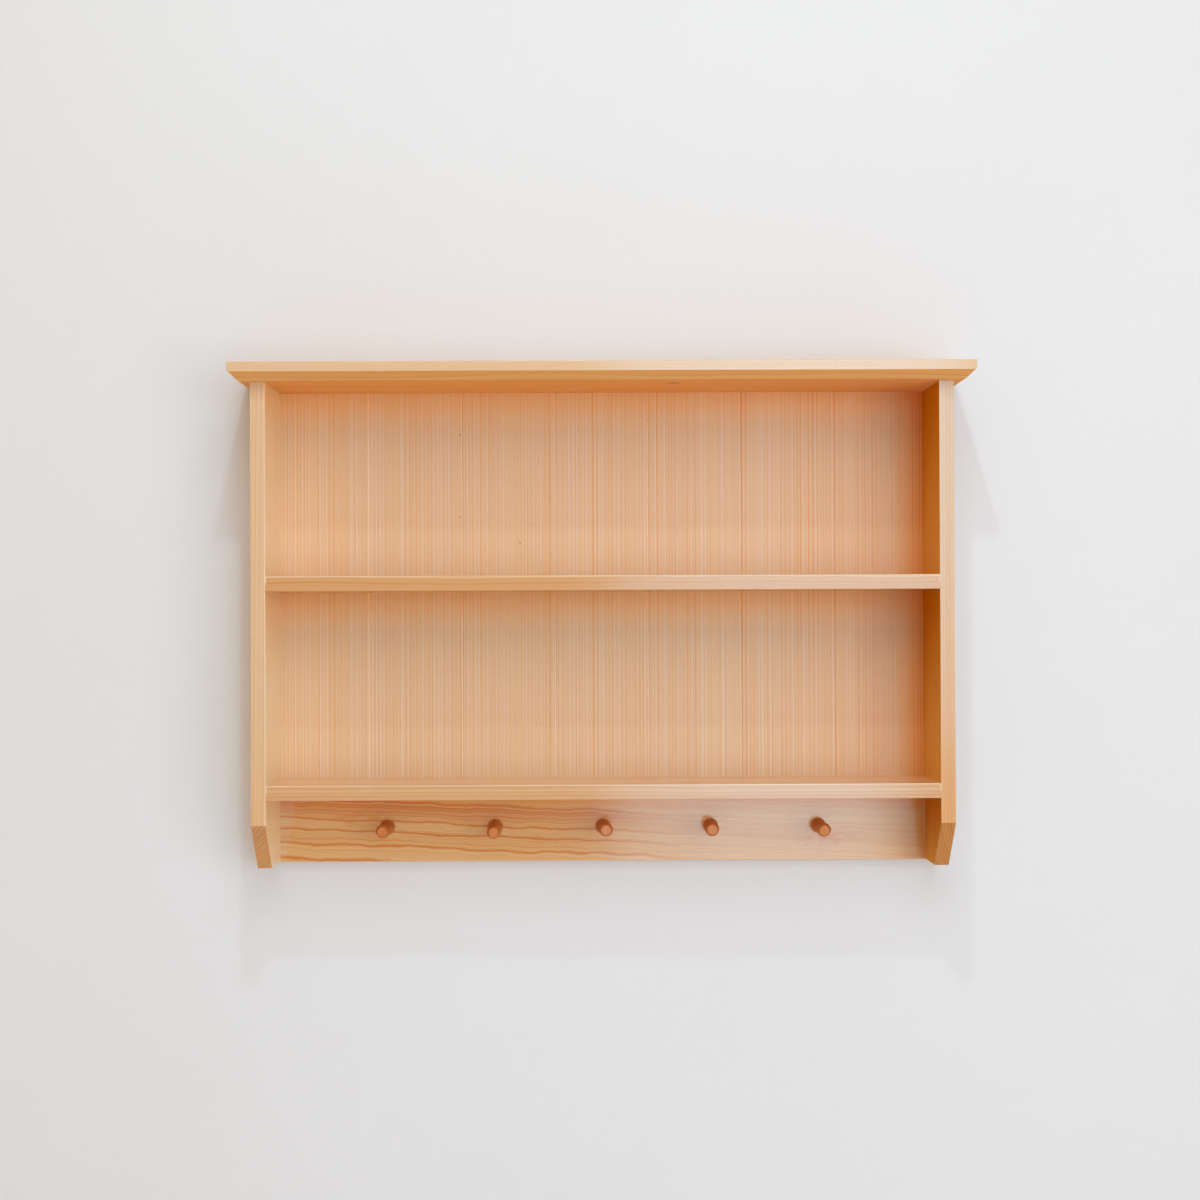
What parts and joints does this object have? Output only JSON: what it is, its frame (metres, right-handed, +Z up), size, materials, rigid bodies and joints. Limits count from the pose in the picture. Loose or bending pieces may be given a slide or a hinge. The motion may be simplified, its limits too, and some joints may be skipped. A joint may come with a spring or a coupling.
{
  "type": "peg rail shelf",
  "caption": "Wall-hung shelf in the Shaker manner: two open bays under an oversailing top board, with a rail of turned pegs between the sides below them.",
  "frame": {"origin": "on the wall plane, midway between the entry holes of the two keyhole hanger plates", "axes": "+X to the right seen from the front, +Y into the wall, +Z up"},
  "size_m": [0.9, 0.178, 0.615],
  "materials": {
    "case_pine": "satin varnish, straight pale grain",
    "back_board_pine": "satin varnish, fine upright grain",
    "rail_pine": "satin varnish, wavy flat-sawn grain",
    "peg_wood": "satin varnish, turned",
    "dowel_beech": "bare",
    "hanger_steel": "zinc plated",
    "nail_steel": "bright wire, dulled"
  },
  "bodies": {
    "root": {"top_board": "case_pine", "left_side": "case_pine", "right_side": "case_pine", "middle_shelf": "case_pine", "lower_shelf": "case_pine", "peg_rail": "rail_pine", "peg_1": "peg_wood", "peg_2": "peg_wood", "peg_3": "peg_wood", "peg_4": "peg_wood", "peg_5": "peg_wood", "back_board_1": "back_board_pine", "back_board_2": "back_board_pine", "back_board_3": "back_board_pine", "back_board_4": "back_board_pine", "back_board_5": "back_board_pine", "back_board_6": "back_board_pine", "back_board_7": "back_board_pine", "top_dowels": "dowel_beech", "middle_shelf_dowels": "dowel_beech", "lower_shelf_dowels": "dowel_beech", "rail_dowels": "dowel_beech", "back_board_nails": "nail_steel", "left_hanger_plate": "hanger_steel", "right_hanger_plate": "hanger_steel", "hanger_screws": "hanger_steel"}
  },
  "joints": []
}
